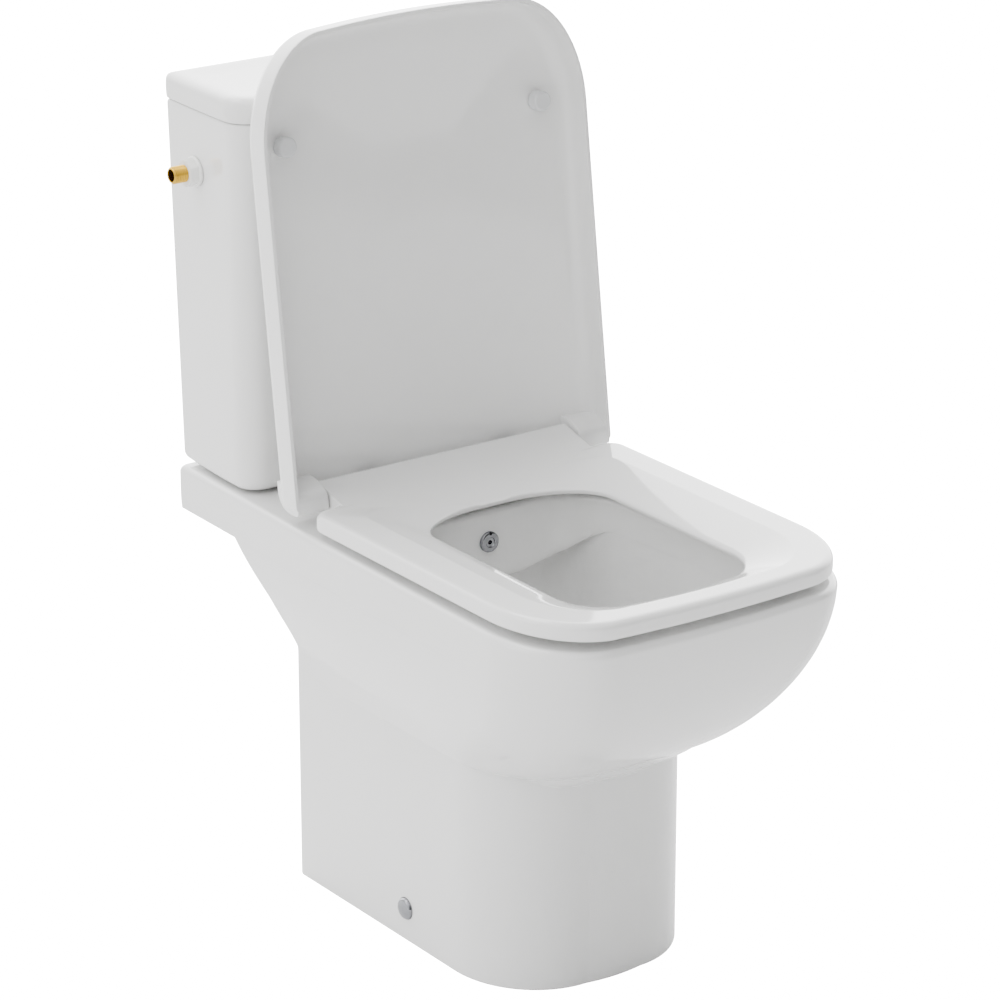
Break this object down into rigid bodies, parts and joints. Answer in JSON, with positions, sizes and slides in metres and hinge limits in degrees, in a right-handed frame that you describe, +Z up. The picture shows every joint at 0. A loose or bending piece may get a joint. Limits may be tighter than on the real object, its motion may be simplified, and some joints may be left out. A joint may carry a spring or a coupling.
{
  "type": "close coupled toilet",
  "caption": "Floor standing close coupled toilet with soft square bowl, bidet nozzle, side-fed cistern, hinged seat and wrap-over cover.",
  "frame": {"origin": "middle of the pedestal foot, on the floor", "axes": "+X to the right seen from the front, -Y towards the front of the bowl, +Z up"},
  "size_m": [0.3805, 0.6368, 0.8594],
  "materials": {
    "ceramic": "gloss white glaze",
    "seatwhite": "gloss white moulded plastic",
    "nylon": "satin white plastic",
    "fitting": "satin pale grey plastic",
    "blue": "satin blue plastic",
    "rubber": "matt black rubber",
    "redrubber": "matt red rubber",
    "buffer": "soft pale translucent rubber",
    "brass": "satin turned brass",
    "chrome": "polished chrome",
    "chromeplastic": "chrome plated plastic",
    "steel": "zinc plated or stainless steel"
  },
  "bodies": {
    "pan": {"pan": "ceramic", "floor_brackets": "steel", "floor_screws": "steel", "screw_caps": "chrome", "cistern": "ceramic", "coupling_seal": "rubber", "coupling_bolts": "brass", "coupling_washers": "rubber", "coupling_nuts": "nylon", "valve_body": "fitting", "valve_gasket": "rubber", "valve_nut": "nylon", "fill_valve": "fitting", "inlet_shank": "brass", "inlet_washer": "rubber", "inlet_nut": "nylon", "float_pin": "steel", "hinge_posts": "chrome", "hinge_pins": "steel", "hinge_bolts": "steel", "hinge_washers": "rubber", "hinge_nuts": "nylon", "bidet_nozzle": "chrome", "nozzle_nut": "brass", "bidet_pipe": "steel"},
    "seat": {"seat": "seatwhite", "seat_buffers": "buffer"},
    "cover": {"cover": "seatwhite", "cover_buffers": "buffer"},
    "lid": {"cistern_lid": "ceramic", "button_bezel": "chromeplastic", "bezel_nut": "nylon"},
    "full_button": {"full_button": "chromeplastic", "full_rod": "nylon"},
    "half_button": {"half_button": "chromeplastic", "half_rod": "blue"},
    "flush_piston": {"valve_piston": "blue", "valve_seal": "redrubber"},
    "float": {"float_arm": "blue", "float_cup": "fitting"}
  },
  "joints": [
    {"name": "seat_hinge", "type": "hinge", "parent": "pan", "child": "seat", "pos_m": [0, 0.098, 0.431], "axis": [-1, 0, 0], "range_deg": [0, 96]},
    {"name": "cover_hinge", "type": "hinge", "parent": "pan", "child": "cover", "pos_m": [0, 0.098, 0.431], "axis": [-1, 0, 0], "range_deg": [-97.6, 0]},
    {"name": "lid_lift", "type": "slide", "parent": "pan", "child": "lid", "axis": [0, 0, 1], "range_m": [0, 0.09]},
    {"name": "full_press", "type": "slide", "parent": "lid", "child": "full_button", "axis": [0, 0, -1], "range_m": [0, 0.007], "stiffness_N_per_m": 250, "springref_m": -0.004},
    {"name": "half_press", "type": "slide", "parent": "lid", "child": "half_button", "axis": [0, 0, -1], "range_m": [0, 0.007], "stiffness_N_per_m": 250, "springref_m": -0.004},
    {"name": "piston_lift", "type": "slide", "parent": "pan", "child": "flush_piston", "axis": [0, 0, 1], "range_m": [0, 0.0154]},
    {"name": "float_swing", "type": "hinge", "parent": "pan", "child": "float", "pos_m": [-0.118, 0.252, 0.722], "axis": [0, -1, 0], "range_deg": [0, 26]}
  ],
  "couplings": [
    {"joint": "piston_lift", "follows": "full_press", "ratio": 2.2}
  ]
}
